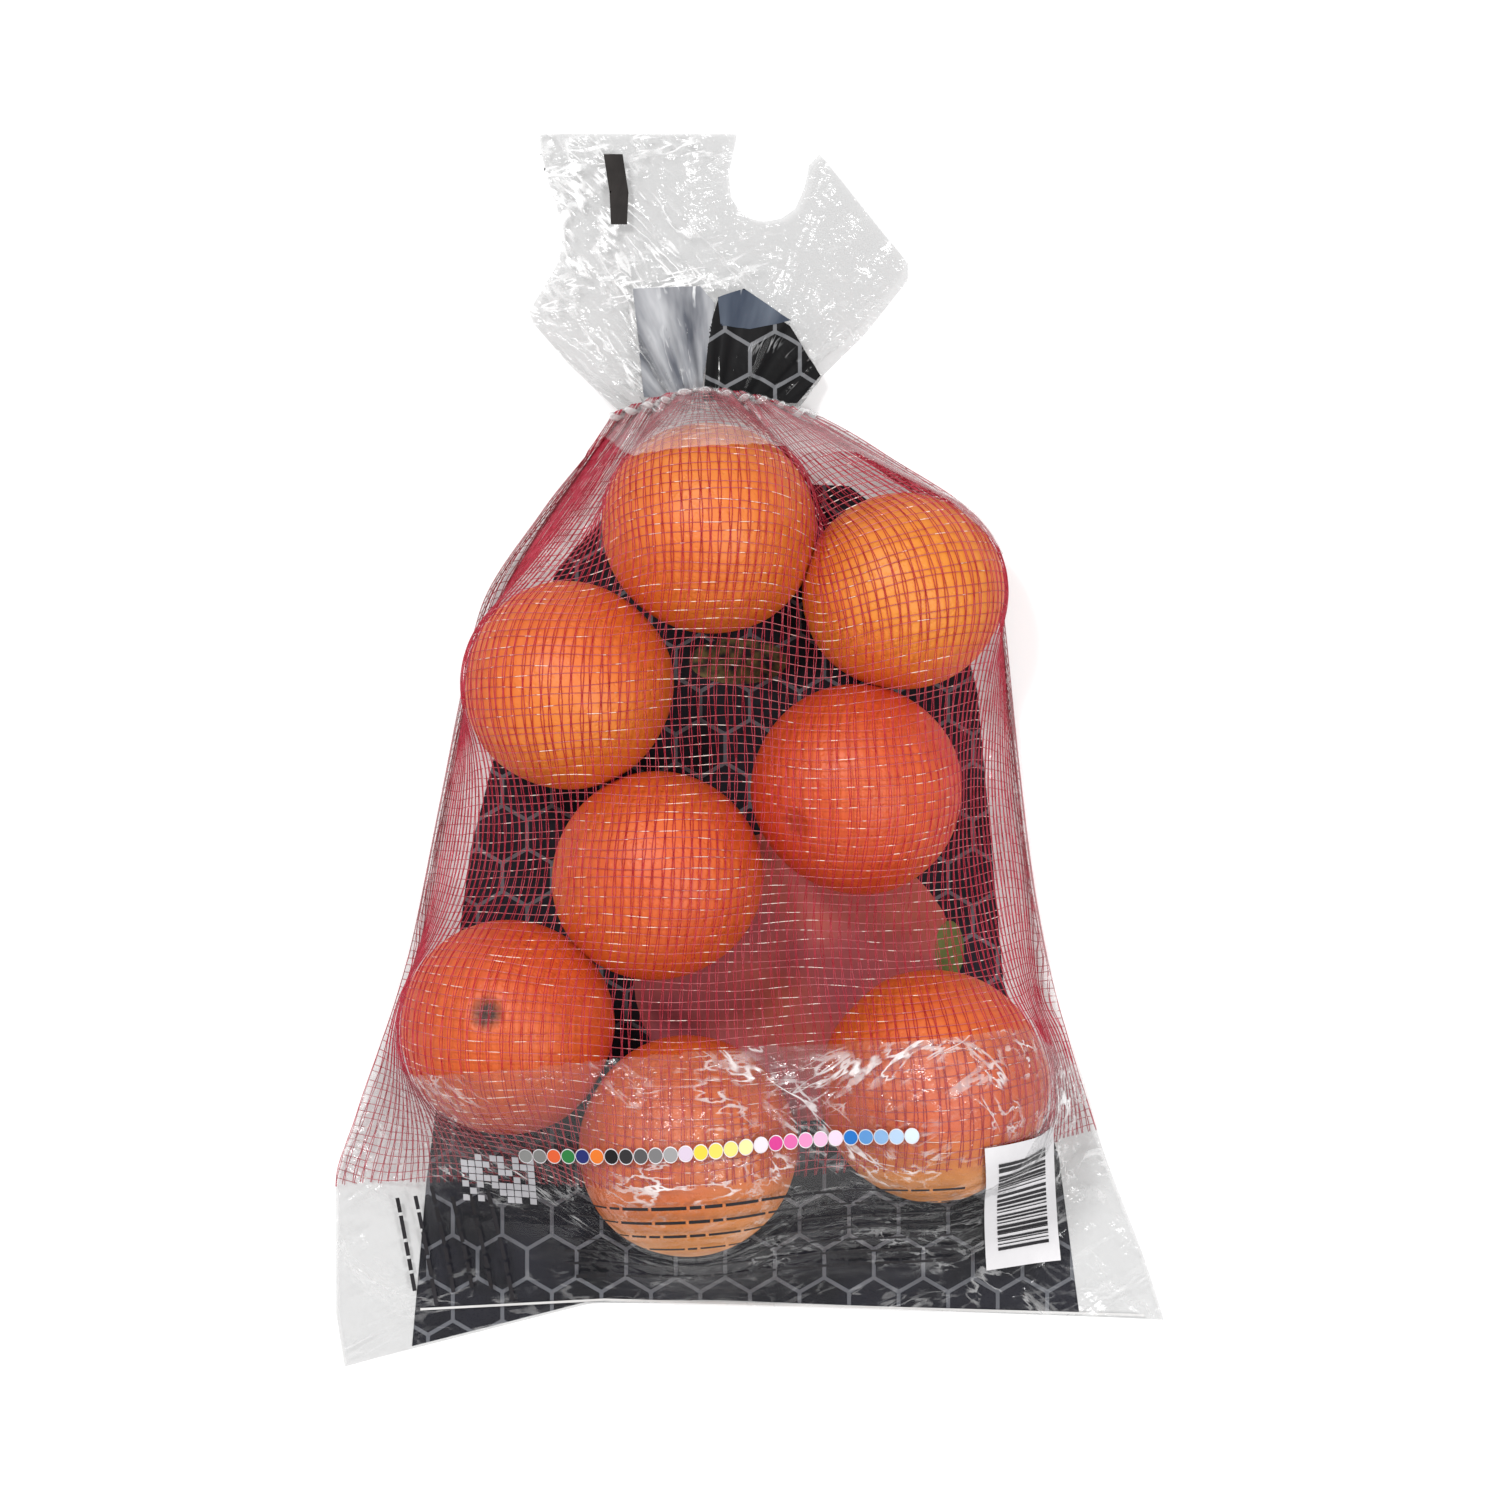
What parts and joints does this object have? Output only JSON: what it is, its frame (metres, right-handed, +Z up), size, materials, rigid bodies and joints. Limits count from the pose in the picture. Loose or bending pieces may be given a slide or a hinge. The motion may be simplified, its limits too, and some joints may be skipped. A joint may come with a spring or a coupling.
{
  "type": "net bag of oranges",
  "caption": "Filled fruit bag with a mesh front and a printed film back, lying on its back, gathered at the neck with the loose film fanned out.",
  "frame": {"origin": "on the table under the middle of the bag's outline", "axes": "+X across the bag, +Y from the hem to the neck, +Z up from the table, with the mesh side up"},
  "size_m": [0.284, 0.424, 0.0778],
  "materials": {
    "filled_bag": "red mesh and clear film over oranges",
    "orange_peel": "waxed, finely pored orange peel",
    "red_mesh": "thin red polyethylene threads",
    "clear_film": "clear, crumpled, glossy film",
    "print": "dark ink with pale hexagon lines"
  },
  "bodies": {
    "root": {"net_bag": "filled_bag"}
  },
  "joints": []
}
